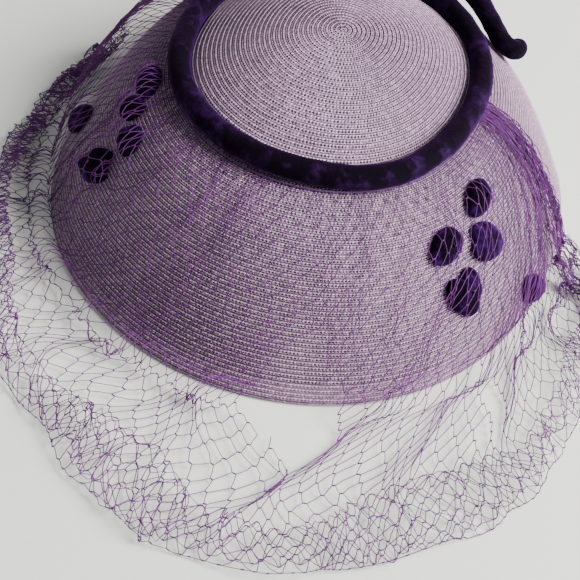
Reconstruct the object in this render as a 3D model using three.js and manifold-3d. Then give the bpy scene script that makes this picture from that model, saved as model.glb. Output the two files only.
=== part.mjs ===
// Veiled straw cocktail hat: an oval, mushroom-shaped body of sewn braid, a velvet tube laid round
// the crown and knotted at the back, ten velvet spots, and a veil gathered under the velvet tube.
// Millimetres, +Z up, -Y is the wearer's front. The hat stands on its turned-under brim edge, and
// the part of the veil that lies in front of the brim lifts.
import * as THREE from "three";
import { mergeVertices } from "three/addons/utils/BufferGeometryUtils.js";
import Module from "manifold-3d";

const manifold = await Module();
manifold.setup();

// --- driving dimensions -------------------------------------------------------------------------
// Radii are mean radii of the oval. Angles are in degrees from the front, towards +X. A fraction
// along the brim's slope runs from 0 at the crown to 1 at the edge.

const OVALNESS = 0.12; // longer than round by this share front to back, narrower by it across
const CROWN_OFFSET_X = -8; // the crown sits off centre, so the brim is wider on the +X side
const BRAID_THICKNESS = 1.6;

const APEX_HEIGHT = 90;
const CROWN_RADIUS = 72; // where the dome meets the velvet tube
const CROWN_DROP = 18.5; // from the apex to that line
const CROWN_SKIRT = 13; // rows turned down inside the brim's top opening
const DOME_SHARES = [0, 0.25, 0.45, 0.62, 0.78, 0.9, 1]; // of the crown's radius, where its line bends
const SKIRT_BEND = [1.6, 2.5]; // out from the crown's radius, and down from its edge
const SKIRT_TOP = [2.4, 6];

const BRIM_RADIUS = 140;
const BRIM_TOP = [76, 66.3]; // radius and height where the slope starts
const BRIM_SHOULDER = [105, 69]; // control point of the slope's curve
const HEM_DEPTH = 5.2; // the turned-under rows lie this deep inside the slope
const HEM_FOOT = 4.8; // width of the flat foot
const HEM_FOOT_INSET = 0.8; // of the foot's outer edge, inside the brim's radius
const SLOPE_END = 0.93; // fraction where the slope's rows stop and the turned-under rows start
const WIRE_PLACE = 0.945; // fraction along the slope
const WIRE_SIDES = 5;
const WIRE_RADIUS = 0.7;
const RIBBON_DEPTH = 2.2; // of the ribbon's outer face inside the slope
const RIBBON_THICKNESS = 1;
const RIBBON_FROM = 0.2; // fractions along the slope
const RIBBON_TO = 0.45;

const RING_RADIUS = 78.6; // of the velvet tube's centre line
const RING_HEIGHT = 73.3;
const TUBE_RADIUS = 5.6;
const TUBE_BORE = 4.3;
const CORE_RADIUS = 3.8;
const RING_END_ANGLE = 173.8; // where each end meets the knot
const BEAK_OUT = 2.5; // the tube stands out in a soft point
const BEAK_ANGLE = 36;
const BEAK_WIDTH = 18;

const KNOT_LENGTH = 18;
const KNOT_RADIUS = 7.5;
const KNOT_CENTRE = [CROWN_OFFSET_X, 90.4, 74.5];
const KNOT_BARREL = [[5.8, -1], [7.1, -0.6], [KNOT_RADIUS, 0], [7.1, 0.6], [5.8, 1]]; // radius, half lengths
const TAIL_RADIUS = 5.2;
const TAIL_STEPS = 30;
const TAIL_RIGHT = [
  [-2.3, 98.4, 74], [0.5, 106, 73], [10, 113.5, 70.5], [23, 115.5, 67.5], [35, 109, 65.5],
  [45, 96.5, 65], [50.5, 89.2, 65], [55.5, 82.5, 65], [59.5, 80.2, 64.2], [62.9, 81.1, 62.9],
  [64.7, 84.1, 61.5], [64.5, 87.5, 60.9], [63, 91, 60.6],
];
const TAIL_LEFT = [
  [-13.7, 98.4, 74], [-17, 106, 73], [-28, 112, 70], [-41, 110, 67], [-54, 101, 65],
  [-66, 89, 64], [-75, 77, 64], [-80, 72.5, 63], [-85, 74, 61], [-86.5, 80.5, 58.5],
];

// Each spot: angle, fraction along the slope, length, width, and how far its length is turned
// from the way round the hat towards the way up the slope.
const SPOT_THICKNESS = 7.2;
const SPOT_GAP = 0.3;
const SPOTS = {
  left: [[-62, 0.8, 22, 16, 48], [-50, 0.27, 21, 12, 164], [-43.5, 0.4, 13.5, 12, 112],
    [-35.5, 0.475, 16, 12.5, 140], [-39, 0.685, 24, 17, 40]],
  right: [[67, 0.42, 21.5, 14.5, 18], [50, 0.53, 21, 15, 20], [64, 0.615, 23, 18.5, 153],
    [53, 0.738, 24, 18, 158], [79, 0.94, 20, 14, 161]],
};

const VEIL_ARC = 107; // the veil is gathered from this angle on the left to the same on the right
const VEIL_THICKNESS = 2;
const VEIL_REACH = 88; // farthest that it lies beyond the brim's edge
const VEIL_REACH_SIDE = 22; // least that it lies beyond the brim's edge
const VEIL_REACH_ANGLE = 20;
const VEIL_REACH_WIDTH = 42;
const VEIL_FLOOR_GAP = 0.5;
const VEIL_FOOT = 147.5; // radius where it reaches the ground
const VEIL_STEPS = 30;
const VEIL_STAND_OFF = [[0.14, 0.6], [0.17, 4.4], [0.2, 6.6], [0.24, 8.2], [0.32, 8.6], [0.4, 8.8],
  [0.5, 8.8], [0.6, 8.8], [0.8, 8.8]];
const VEIL_EDGE_OFF = 8.8; // off the slope where the veil passes the brim's edge
const VEIL_EDGE_AT = 0.95;
const VEIL_FOLDS = [[0, 7], [-14, 17], [-38, 23], [-64, 25]]; // top of the folds: out from the reach, up
const VEIL_FOLDS_END = [3, 27]; // out from the foot, up
const GATHER_THREAD_RADIUS = 0.45;
const GATHER_AT = 0.11; // fraction along the slope
const GATHER_OFF = 1;
const HINGE_Y = -166; // the front of the veil lifts about this line, just clear of the brim
const HINGE_GAP = 0.6;
const CUTTER_SIZE = 800;

const ROUND_STEPS = 48;
const TUBE_SIDES = 10;

// --- finishes -----------------------------------------------------------------------------------

const finish = (color, roughness, metalness = 0) =>
  new THREE.MeshStandardMaterial({ color, roughness, metalness });

const straw = finish(0xc4abc8, 0.62);
const velvet = finish(0x24103f, 0.95);
const wadding = finish(0xe6e0d8, 1);
const grosgrain = finish(0x9a83a4, 0.8);
const netting = finish(0x6b3a86, 0.7);
const thread = finish(0x5a3474, 0.75);
const wire = finish(0x8f9094, 0.35, 1);

// --- the oval body's own coordinates ------------------------------------------------------------

const radians = THREE.MathUtils.degToRad;
const lerp = THREE.MathUtils.lerp;

// Bell-shaped bump of height 1 at a centre angle.
const bump = (angle, centre, width) => Math.exp(-(((angle - centre) / width) ** 2));

// The point at an angle, a mean radius and a height; extra is added to the radius unscaled.
function ovalPoint(angle, radius, height, extra = 0) {
  const lean = Math.min(height / RING_HEIGHT, 1);
  const r = radius * (1 + OVALNESS * Math.cos(2 * radians(angle))) + extra;
  return new THREE.Vector3(
    CROWN_OFFSET_X * lean + r * Math.sin(radians(angle)),
    -r * Math.cos(radians(angle)),
    height,
  );
}

const brimCurve = new THREE.QuadraticBezierCurve(
  new THREE.Vector2(...BRIM_TOP),
  new THREE.Vector2(...BRIM_SHOULDER),
  new THREE.Vector2(BRIM_RADIUS, 0),
);

// The (radius, height) point at fraction t along the slope, moved out of the straw by offset.
function slopePoint(t, offset = 0) {
  const along = brimCurve.getTangent(t);
  return brimCurve.getPoint(t).add(new THREE.Vector2(-along.y, along.x).multiplyScalar(offset));
}

// Points at even fractions from start to end.
function slopeLine(start, end, offset, pieces) {
  const points = [];
  for (let i = 0; i <= pieces; i++) points.push(slopePoint(lerp(start, end, i / pieces), offset));
  return points;
}

// --- ways of making a solid ---------------------------------------------------------------------

function moveVertices(geometry, place) {
  const position = geometry.getAttribute("position");
  const vertex = new THREE.Vector3();
  for (let i = 0; i < position.count; i++)
    position.setXYZ(i, ...place(vertex.fromBufferAttribute(position, i)));
  return geometry;
}

// A section of (radius, height) points, anticlockwise, turned all the way round the oval. It
// closes on itself, or starts and ends on the axis.
function ovalTurned(section) {
  return moveVertices(new THREE.LatheGeometry(section, ROUND_STEPS), (v) =>
    ovalPoint(THREE.MathUtils.radToDeg(Math.atan2(v.x, v.z)), Math.hypot(v.x, v.z), v.y));
}

const ovalRing = (section) => ovalTurned([...section, section[0]]);

// A section carried round the oval from one angle to another, with closed ends. reach gives the
// radius that a point of the section has at each angle.
function ovalStretch(section, from, to, steps, reach) {
  const shape = new THREE.Shape(section);
  const bar = new THREE.ExtrudeGeometry(shape, { depth: 1, steps, bevelEnabled: false });
  return moveVertices(bar, (v) => {
    const angle = lerp(to, from, v.z);
    return ovalPoint(angle, reach(v.x, angle), v.y);
  });
}

// A path round the oval at one height, with the velvet tube's soft point when beak is given.
class OvalPath extends THREE.Curve {
  constructor(arc, radius, height, beak = 0) {
    super();
    Object.assign(this, { arc, radius, height, beak });
  }

  getPoint(t) {
    const angle = lerp(-this.arc, this.arc, t);
    const out = this.beak * bump(angle, BEAK_ANGLE, BEAK_WIDTH);
    return ovalPoint(angle, this.radius, this.height, out);
  }
}

// A round tube along a path, hollow when it has a bore.
function tube(path, radius, steps, bore = 0, sides = TUBE_SIDES) {
  const shape = new THREE.Shape().absarc(0, 0, radius, 0, 2 * Math.PI, false);
  if (bore) shape.holes.push(new THREE.Path().absarc(0, 0, bore, 0, 2 * Math.PI, true));
  const options = { extrudePath: path, steps, curveSegments: sides / 2, bevelEnabled: false };
  return new THREE.ExtrudeGeometry(shape, options);
}

function toSolid(geometry) {
  const bare = geometry.clone();
  bare.deleteAttribute("normal");
  bare.deleteAttribute("uv");
  const merged = mergeVertices(bare, 1e-3);
  const vertProperties = merged.getAttribute("position").array;
  const triVerts = new Uint32Array(merged.index.array);
  return new manifold.Manifold(new manifold.Mesh({ numProp: 3, vertProperties, triVerts }));
}

function toGeometry(solid) {
  const mesh = solid.getMesh();
  return new THREE.BufferGeometry()
    .setAttribute("position", new THREE.BufferAttribute(mesh.vertProperties, 3))
    .setIndex(new THREE.BufferAttribute(mesh.triVerts, 1));
}

// --- the object ---------------------------------------------------------------------------------

const hat = new THREE.Group();

function add(name, geometry, material) {
  const mesh = new THREE.Mesh(geometry, material.clone());
  mesh.name = name;
  hat.add(mesh);
  return mesh;
}

// The crown's line from the apex down to its skirt, moved inwards by depth.
function crownLine(depth) {
  const shoulder = APEX_HEIGHT - CROWN_DROP;
  const dome = DOME_SHARES.map((share) =>
    new THREE.Vector2(CROWN_RADIUS * share, APEX_HEIGHT - depth - CROWN_DROP * share ** 2));
  return [
    ...dome,
    new THREE.Vector2(CROWN_RADIUS + SKIRT_BEND[0] - depth, shoulder - SKIRT_BEND[1]),
    new THREE.Vector2(CROWN_RADIUS + SKIRT_TOP[0] - depth, shoulder - SKIRT_TOP[1]),
    new THREE.Vector2(CROWN_RADIUS + SKIRT_TOP[0] - depth, shoulder - CROWN_SKIRT),
  ];
}

// A sewn dome whose edge turns down through the brim's top opening.
function strawCrown() {
  add("straw_crown", ovalTurned([...crownLine(BRAID_THICKNESS), ...crownLine(0).reverse()]), straw);
}

// The sloping brim, from under the velvet tube to just above the turned-under rows.
function strawBrim() {
  const outer = slopeLine(SLOPE_END, 0, 0, 7);
  const section = [...outer, ...slopeLine(0, SLOPE_END, -BRAID_THICKNESS, 7)];
  add("straw_brim", ovalRing(section), straw);
}

// The last rows are turned under: a hairpin section with a flat foot, open at its top.
function brimEdgeFold() {
  const footOuter = BRIM_RADIUS - HEM_FOOT_INSET;
  const section = [
    new THREE.Vector2(footOuter, 0),
    ...slopeLine(0.985, 0.942, 0, 1),
    ...slopeLine(0.942, 0.975, -BRAID_THICKNESS, 1),
    ...slopeLine(0.96, 0.8, BRAID_THICKNESS - HEM_DEPTH, 2),
    ...slopeLine(0.8, 0.95, -HEM_DEPTH, 2),
    new THREE.Vector2(footOuter - HEM_FOOT, 0),
  ];
  add("brim_edge_fold", ovalRing(section), straw);
}

// A sprung wire inside the turned-under rows keeps the edge's oval.
function brimEdgeWire() {
  const centre = slopePoint(WIRE_PLACE, -HEM_DEPTH / 2);
  const section = [];
  for (let i = 0; i < WIRE_SIDES; i++) {
    const turn = (2 * Math.PI * i) / WIRE_SIDES;
    section.push(new THREE.Vector2(Math.cos(turn), Math.sin(turn)).multiplyScalar(WIRE_RADIUS));
  }
  add("brim_edge_wire", ovalRing(section.map((p) => p.add(centre))), wire);
}

// A grosgrain ribbon sewn inside, where the hat bears on the head.
function headRibbon() {
  const inner = -RIBBON_DEPTH - RIBBON_THICKNESS;
  const outer = slopeLine(RIBBON_TO, RIBBON_FROM, -RIBBON_DEPTH, 3);
  const section = [...outer, ...slopeLine(RIBBON_FROM, RIBBON_TO, inner, 3)];
  add("head_ribbon", ovalRing(section), grosgrain);
}

// The velvet tube round the crown, with its wadding core and the knot that joins its ends.
function velvetRing() {
  const path = new OvalPath(RING_END_ANGLE, RING_RADIUS, RING_HEIGHT, BEAK_OUT);
  add("velvet_ring", tube(path, TUBE_RADIUS, ROUND_STEPS, TUBE_BORE), velvet);
  add("ring_core", tube(path, CORE_RADIUS, ROUND_STEPS, 0, 8), wadding);
}

function velvetKnot() {
  const half = KNOT_LENGTH / 2;
  const barrel = [[0, -1], ...KNOT_BARREL, [0, 1]];
  const section = barrel.map(([r, along]) => new THREE.Vector2(r, along * half));
  const knot = add("velvet_knot", new THREE.LatheGeometry(section, 12), velvet);
  knot.rotation.z = Math.PI / 2;
  knot.position.set(...KNOT_CENTRE);
}

// Two tube ends leave the knot, arch over the back of the brim and turn back on themselves.
function velvetTails() {
  for (const [side, route] of [["right", TAIL_RIGHT], ["left", TAIL_LEFT]]) {
    const path = new THREE.CatmullRomCurve3(route.map((p) => new THREE.Vector3(...p)));
    add("velvet_tail_" + side, tube(path, TAIL_RADIUS, TAIL_STEPS), velvet);
  }
}

// A domed spot lying on the slope, its flat back towards the straw.
function velvetSpot(name, [angle, t, length, width, turn]) {
  const dome = [[0, 0], [0.94, 0], [1, 0.3], [0.8, 0.72], [0.42, 0.94], [0, 1]];
  const section = dome.map(([r, up]) => new THREE.Vector2(r, SPOT_THICKNESS * up));
  const spot = add(name, new THREE.LatheGeometry(section, 12), velvet);
  spot.scale.set(length / 2, 1, width / 2);

  const at = slopePoint(t, SPOT_GAP);
  const centre = ovalPoint(angle, at.x, at.y);
  const upSlope = slopePoint(t - 0.01, SPOT_GAP);
  const up = ovalPoint(angle, upSlope.x, upSlope.y).sub(centre).normalize();
  const round = ovalPoint(angle + 0.5, at.x, at.y).sub(centre).normalize();
  const out = round.clone().cross(up).normalize();
  const lengthways = round.clone().applyAxisAngle(out, radians(turn));
  const widthways = lengthways.clone().cross(out);
  spot.quaternion.setFromRotationMatrix(
    new THREE.Matrix4().makeBasis(lengthways, out, widthways));
  spot.position.copy(centre);
}

function velvetSpots() {
  for (const [side, spots] of Object.entries(SPOTS))
    spots.forEach((spot, i) => velvetSpot("velvet_spot_" + side + "_" + (i + 1), spot));
}

// The veil's section: a thin sheet that comes out from under the velvet tube, stands off the
// straw over the spots, passes the brim's edge and lies in soft folds on the ground.
function veilSection() {
  const inner = VEIL_STAND_OFF.map(([t, off]) => slopePoint(t, off));
  const outer = VEIL_STAND_OFF.map(([t, off]) =>
    slopePoint(t, Math.min(off * 3, off + VEIL_THICKNESS)));
  const edge = BRIM_RADIUS + VEIL_REACH;
  return [
    ...inner,
    slopePoint(VEIL_EDGE_AT, VEIL_EDGE_OFF),
    new THREE.Vector2(VEIL_FOOT, VEIL_FLOOR_GAP),
    new THREE.Vector2(edge, VEIL_FLOOR_GAP),
    ...VEIL_FOLDS.map(([out, up]) => new THREE.Vector2(edge + out, up)),
    new THREE.Vector2(VEIL_FOOT + VEIL_FOLDS_END[0], VEIL_FOLDS_END[1]),
    ...outer.reverse(),
  ];
}

function veil() {
  const reach = (radius, angle) => {
    const side = VEIL_REACH_SIDE / VEIL_REACH;
    const share = lerp(side, 1, bump(angle, VEIL_REACH_ANGLE, VEIL_REACH_WIDTH));
    return radius > VEIL_FOOT ? lerp(VEIL_FOOT, radius, share) : radius;
  };
  const whole = toSolid(ovalStretch(veilSection(), -VEIL_ARC, VEIL_ARC, VEIL_STEPS, reach));
  const cutter = new THREE.BoxGeometry(CUTTER_SIZE, CUTTER_SIZE, CUTTER_SIZE);
  const ahead = (y) => toSolid(cutter.clone().translate(0, y - CUTTER_SIZE / 2, 0));
  const drape = whole.subtract(ahead(HINGE_Y));
  const apron = whole.intersect(ahead(HINGE_Y - HINGE_GAP));
  add("veil_drape", toGeometry(drape), netting);
  add("veil_front", toGeometry(apron), netting);
}

// The running stitch that the veil is gathered on, under the velvet tube.
function veilGatherThread() {
  const at = slopePoint(GATHER_AT, GATHER_OFF);
  const path = new OvalPath(VEIL_ARC, at.x, at.y);
  add("veil_gather_thread", tube(path, GATHER_THREAD_RADIUS, 36, 0, 6), thread);
}

strawCrown();
strawBrim();
brimEdgeFold();
brimEdgeWire();
headRibbon();
velvetRing();
velvetKnot();
velvetTails();
velvetSpots();
veil();
veilGatherThread();

// The origin is on the ground, under the middle of the whole object.
const middle = new THREE.Box3().setFromObject(hat).getCenter(new THREE.Vector3());
hat.position.set(-middle.x, -middle.y, 0);

export default hat;
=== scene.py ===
# Veiled straw cocktail hat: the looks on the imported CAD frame. Built in the hat's own millimetres
# (+Z up, -Y the wearer's front, angles from the front towards +X) and placed in the row frame.
import math
import bmesh
import bpy
import numpy as np
from mathutils import Matrix, Vector


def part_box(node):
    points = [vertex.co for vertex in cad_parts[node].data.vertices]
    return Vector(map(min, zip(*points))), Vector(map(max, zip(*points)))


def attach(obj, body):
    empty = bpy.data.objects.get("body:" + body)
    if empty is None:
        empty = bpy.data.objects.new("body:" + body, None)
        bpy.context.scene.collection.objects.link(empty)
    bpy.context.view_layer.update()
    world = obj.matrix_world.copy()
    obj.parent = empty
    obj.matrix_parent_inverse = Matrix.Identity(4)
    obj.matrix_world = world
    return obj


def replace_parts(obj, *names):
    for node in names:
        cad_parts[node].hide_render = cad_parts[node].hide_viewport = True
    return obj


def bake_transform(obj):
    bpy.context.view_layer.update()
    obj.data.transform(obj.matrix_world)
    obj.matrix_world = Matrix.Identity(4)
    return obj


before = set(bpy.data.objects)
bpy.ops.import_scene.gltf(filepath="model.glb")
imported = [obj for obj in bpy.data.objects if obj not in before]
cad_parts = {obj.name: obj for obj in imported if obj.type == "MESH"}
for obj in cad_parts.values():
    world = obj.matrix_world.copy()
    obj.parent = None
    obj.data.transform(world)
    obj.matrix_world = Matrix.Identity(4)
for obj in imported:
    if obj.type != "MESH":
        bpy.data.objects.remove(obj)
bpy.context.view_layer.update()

# --- the camera ---------------------------------------------------------------------------------

CAMERA_AZIMUTH = math.radians(11)
CAMERA_ELEVATION = math.radians(42.83)
CAMERA_ROLL = math.radians(15.58)
CAMERA_DISTANCE = 0.7269
CAMERA_AIM = Vector((0.0128, -0.0358, 0))
CAMERA_LENS = 97.0


def add_camera():
    data = bpy.data.cameras.new("camera")
    data.lens = CAMERA_LENS
    data.sensor_width = 36
    data.clip_start = 0.02
    data.clip_end = 20
    out = Vector((math.sin(CAMERA_AZIMUTH), -math.cos(CAMERA_AZIMUTH), 0))
    right = Vector((math.cos(CAMERA_AZIMUTH), math.sin(CAMERA_AZIMUTH), 0))
    rise = Vector((0, 0, 1))
    back = out * math.cos(CAMERA_ELEVATION) + rise * math.sin(CAMERA_ELEVATION)
    up = rise * math.cos(CAMERA_ELEVATION) - out * math.sin(CAMERA_ELEVATION)
    across = right * math.cos(CAMERA_ROLL) + up * math.sin(CAMERA_ROLL)
    above = up * math.cos(CAMERA_ROLL) - right * math.sin(CAMERA_ROLL)
    turn = Matrix((across, above, back)).transposed().to_4x4()
    camera = bpy.data.objects.new("camera", data)
    camera.matrix_world = Matrix.Translation(CAMERA_AIM + back * CAMERA_DISTANCE) @ turn
    bpy.context.collection.objects.link(camera)
    bpy.context.scene.camera = camera


add_camera()

# --- dimensions, in millimetres, as the CAD has them, but for the outline of the spot right_4 ---

OVALNESS = 0.12
LEAN_X = -8.0
RING_HEIGHT = 73.3
RING_RADIUS = 78.6
TUBE_RADIUS = 5.6
RING_END = 173.8
BEAK_OUT, BEAK_ANGLE, BEAK_WIDTH = 2.5, 36, 18
BRAID = 1.6  # thickness of the sewn straw
CROWN_ROW, BRIM_ROW = 2.4, 1.95  # pitch of its rows
BEAD = 1.45  # pitch of the plaiting along a row
APEX, CROWN_RADIUS, CROWN_DROP, CROWN_SKIRT = 90.0, 72.0, 18.5, 13.0
BRIM_TOP, BRIM_SHOULDER, BRIM_RADIUS = (76, 66.3), (105, 69), 140.0
HEM_DEPTH, HEM_FOOT = 5.2, 4.8
KNOT_CENTRE = (LEAN_X, 90.4, 74.5)
KNOT_LENGTH, KNOT_RADIUS = 18.0, 7.5
TAIL_RADIUS = 5.2
TAIL_RIGHT = [
    (-2.3, 98.4, 74), (0.5, 106, 73), (10, 113.5, 70.5), (23, 115.5, 67.5), (35, 109, 65.5),
    (45, 96.5, 65), (50.5, 89.2, 65), (55.5, 82.5, 65), (59.5, 80.2, 64.2), (62.9, 81.1, 62.9),
    (64.7, 84.1, 61.5), (64.5, 87.5, 60.9), (63, 91, 60.6),
]
TAIL_LEFT = [
    (-13.7, 98.4, 74), (-17, 106, 73), (-28, 112, 70), (-41, 110, 67), (-54, 101, 65),
    (-66, 89, 64), (-75, 77, 64), (-80, 72.5, 63), (-85, 74, 61), (-86.5, 80.5, 58.5),
]
SPOT_THICKNESS, SPOT_GAP = 7.2, 0.3
# Each spot: angle, fraction along the slope, length, width, turn of its length from the way round
# towards the way up the slope, and how much its outline is drawn into a heart.
SPOTS = {
    "left": [(-62, 0.8, 22, 16, 48, 0.2), (-50, 0.27, 21, 12, 164, 0.1),
             (-43.5, 0.4, 13.5, 12, 112, 0.3), (-35.5, 0.475, 16, 12.5, 140, 0.2),
             (-39, 0.685, 24, 17, 40, 0.8)],
    "right": [(67, 0.42, 21.5, 14.5, 18, 0.1), (50, 0.53, 21, 15, 20, 0.2),
              (64, 0.615, 23, 18.5, 153, 0.7), (53, 0.738, 21.5, 21.5, 97, 1.0),
              (79, 0.94, 20, 14, 161, 0.3)],
}


def hat_origin():
    """Where the hat frame's origin lies in the row frame, in millimetres."""
    low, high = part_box("velvet_knot")
    middle = (np.array(low) + np.array(high)) * 500
    return np.array([middle[0] - KNOT_CENTRE[0], middle[1] - KNOT_CENTRE[1], 0])


ORIGIN = hat_origin()


# --- the oval body's own coordinates ------------------------------------------------------------

def smooth(x, low, high):
    share = np.clip((np.asarray(x, float) - low) / (high - low), 0, 1)
    return share * share * (3 - 2 * share)


def bump(angle, centre, width):
    return np.exp(-(((np.asarray(angle, float) - centre) / width) ** 2))


def oval_point(angle, radius, height, extra=0):
    """Points at angles in degrees, mean radii and heights, as one (..., 3) array."""
    turn = np.radians(angle)
    r = np.asarray(radius) * (1 + OVALNESS * np.cos(2 * turn)) + extra
    lean = LEAN_X * np.clip(np.asarray(height) / RING_HEIGHT, 0, 1)
    x = lean + r * np.sin(turn)
    y = -r * np.cos(turn)
    return np.stack(np.broadcast_arrays(x, y, height), -1).astype(float)


def slope(t, offset=0):
    """The brim's (radius, height) at fraction t, moved out of the straw by offset."""
    t = np.asarray(t, float)[..., None]
    a, b, c = (np.array(p, float) for p in (BRIM_TOP, BRIM_SHOULDER, (BRIM_RADIUS, 0)))
    place = (1 - t) ** 2 * a + 2 * t * (1 - t) * b + t * t * c
    along = 2 * (1 - t) * (b - a) + 2 * t * (c - b)
    along /= np.linalg.norm(along, axis=-1, keepdims=True)
    out = np.stack([-along[..., 1], along[..., 0]], -1)
    return place + out * np.asarray(offset, float)[..., None]


def soft_noise(points, wave, seed, count=9):
    """Smooth noise of about -1 to 1: a few plane waves in seeded directions."""
    points = np.asarray(points, float)
    draw = np.random.default_rng(seed)
    total = np.zeros(points.shape[:-1])
    for _ in range(count):
        way = draw.normal(size=points.shape[-1])
        way *= draw.uniform(0.6, 1.5) / np.linalg.norm(way)
        total += np.sin(points @ way * (2 * math.pi / wave) + draw.uniform(0, 2 * math.pi))
    return total / math.sqrt(count)


# --- meshes -------------------------------------------------------------------------------------

def new_piece(name, points_mm, faces, material, uv=None):
    """An object made of points in the hat's millimetres and faces of equal corner counts."""
    mesh = bpy.data.meshes.new(name)
    points = (np.asarray(points_mm, float) + ORIGIN) / 1000
    faces = np.asarray(faces, np.int64)
    corners = faces.shape[1]
    mesh.vertices.add(len(points))
    mesh.vertices.foreach_set("co", points.ravel())
    mesh.loops.add(faces.size)
    mesh.loops.foreach_set("vertex_index", faces.ravel())
    mesh.polygons.add(len(faces))
    mesh.polygons.foreach_set("loop_start", np.arange(0, faces.size, corners))
    mesh.polygons.foreach_set("use_smooth", np.full(len(faces), True))
    mesh.update(calc_edges=True)
    if uv is not None:
        layer = mesh.uv_layers.new(name="braid")
        layer.data.foreach_set("uv", np.asarray(uv, np.float32).ravel())
    mesh.validate()
    mesh.materials.append(material)
    piece = bpy.data.objects.new(name, mesh)
    bpy.context.collection.objects.link(piece)
    return piece


def grid_faces(rows, columns, closed_rows=False, closed_columns=False):
    """Quads of a grid of vertices, each as (row, column) corners in order."""
    i = np.arange(rows if closed_rows else rows - 1)
    j = np.arange(columns if closed_columns else columns - 1)
    i, j = (g.ravel() for g in np.meshgrid(i, j, indexing="ij"))
    i2, j2 = (i + 1) % rows, (j + 1) % columns
    return np.stack([i * columns + j, i * columns + j2, i2 * columns + j2, i2 * columns + j], 1)


def normals_along(path):
    """Two normals at each point of a path, carried along it without a twist."""
    along = np.gradient(path, axis=0)
    along /= np.linalg.norm(along, axis=1, keepdims=True)
    side = np.zeros_like(path)
    start = np.array([0, 0, 1.0]) - along[0] * along[0][2]
    side[0] = start / np.linalg.norm(start)
    for k in range(1, len(path)):
        moved = side[k - 1] - along[k] * (side[k - 1] @ along[k])
        side[k] = moved / np.linalg.norm(moved)
    return side, np.cross(along, side)


def even_path(points, count):
    """The points of a smooth curve through the given ones, evenly spaced."""
    p = np.array(points, float)
    p = np.vstack([2 * p[0] - p[1], p, 2 * p[-1] - p[-2]])
    dense = []
    for k in range(1, len(p) - 2):
        for s in np.linspace(0, 1, 40, endpoint=k == len(p) - 3):
            a, b, c, d = p[k - 1], p[k], p[k + 1], p[k + 2]
            dense.append(0.5 * (2 * b + (c - a) * s + (2 * a - 5 * b + 4 * c - d) * s * s
                                + (3 * b - a - 3 * c + d) * s ** 3))
    dense = np.array(dense)
    run = np.concatenate([[0], np.cumsum(np.linalg.norm(np.diff(dense, axis=0), axis=1))])
    at = np.linspace(0, run[-1], count)
    return np.stack([np.interp(at, run, dense[:, k]) for k in range(3)], 1), run[-1]


def soft_tube(name, path, radius, material, sides=36):
    """A tube with closed ends; radius(share along, angle) in millimetres gives its surface."""
    side, other = normals_along(path)
    share = np.linspace(0, 1, len(path))
    turn = np.linspace(0, 2 * math.pi, sides, endpoint=False)
    r = radius(share[:, None], turn[None, :])
    ring = side[:, None] * np.cos(turn)[None, :, None] + other[:, None] * np.sin(turn)[None, :, None]
    points = (path[:, None] + ring * r[..., None]).reshape(-1, 3)
    faces = grid_faces(len(path), sides, closed_columns=True)
    first, last = len(points), len(points) + 1
    points = np.vstack([points, path[0], path[-1]])
    j = np.arange(sides)
    j2 = (j + 1) % sides
    end = (len(path) - 1) * sides
    caps = np.vstack([np.stack([j2, j, np.full(sides, first), np.full(sides, first)], 1),
                      np.stack([j + end, j2 + end, np.full(sides, last), np.full(sides, last)], 1)])
    piece = new_piece(name, points, np.vstack([faces[:, ::-1], caps[:, ::-1]]), material)
    return tidy_mesh(piece)


def tidy_mesh(piece):
    """Drops empty faces and turns every face outwards."""
    work = bmesh.new()
    work.from_mesh(piece.data)
    bmesh.ops.dissolve_degenerate(work, edges=work.edges, dist=1e-8)
    bmesh.ops.recalc_face_normals(work, faces=work.faces)
    work.to_mesh(piece.data)
    work.free()
    return piece


# --- materials ----------------------------------------------------------------------------------

class Nodes:
    """A short way to write a material's node tree."""

    def __init__(self, name):
        self.material = bpy.data.materials.new(name)
        self.material.use_nodes = True
        self.tree = self.material.node_tree
        self.shader = self.tree.nodes["Principled BSDF"]

    def put(self, socket, value):
        if isinstance(value, bpy.types.NodeSocket):
            self.tree.links.new(value, socket)
        elif value is not None:
            socket.default_value = value

    def node(self, kind, inputs=(), **settings):
        made = self.tree.nodes.new("ShaderNode" + kind)
        for key, value in settings.items():
            setattr(made, key, value)
        for key, value in dict(inputs).items():
            self.put(made.inputs[key], value)
        return made

    def math(self, operation, a, b=None):
        return self.node("Math", {0: a, 1: b}, operation=operation).outputs[0]

    def mix(self, share, a, b):
        made = self.node("Mix", data_type="RGBA")
        self.put(made.inputs[0], share)
        self.put(made.inputs[6], rgb(a))
        self.put(made.inputs[7], rgb(b))
        return made.outputs[2]

    def blend(self, share, a, b):
        made = self.node("Mix", data_type="FLOAT")
        for socket, value in ((0, share), (2, a), (3, b)):
            self.put(made.inputs[socket], value)
        return made.outputs[0]

    def fit(self, value, low, high, start=0.0, end=1.0):
        inputs = {0: value, 1: low, 2: high, 3: start, 4: end}
        return self.node("MapRange", inputs, interpolation_type="SMOOTHSTEP").outputs[0]

    def noise(self, place, scale, detail=2.0, rough=0.5):
        inputs = {"Vector": place, "Scale": scale, "Detail": detail, "Roughness": rough}
        return self.node("TexNoise", inputs).outputs[0]

    def random(self, x, y):
        place = self.node("CombineXYZ", {0: x, 1: y}).outputs[0]
        return self.node("TexWhiteNoise", {"Vector": place}, noise_dimensions="2D").outputs[0]

    def place(self):
        return self.node("TexCoord").outputs["Object"]

    def bump(self, height, distance, strength=1.0):
        inputs = {"Height": height, "Distance": distance, "Strength": strength}
        return self.node("Bump", inputs).outputs[0]

    def finish(self, **values):
        for key, value in values.items():
            self.put(self.shader.inputs[key.replace("_", " ")], value)
        return self.material


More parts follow.
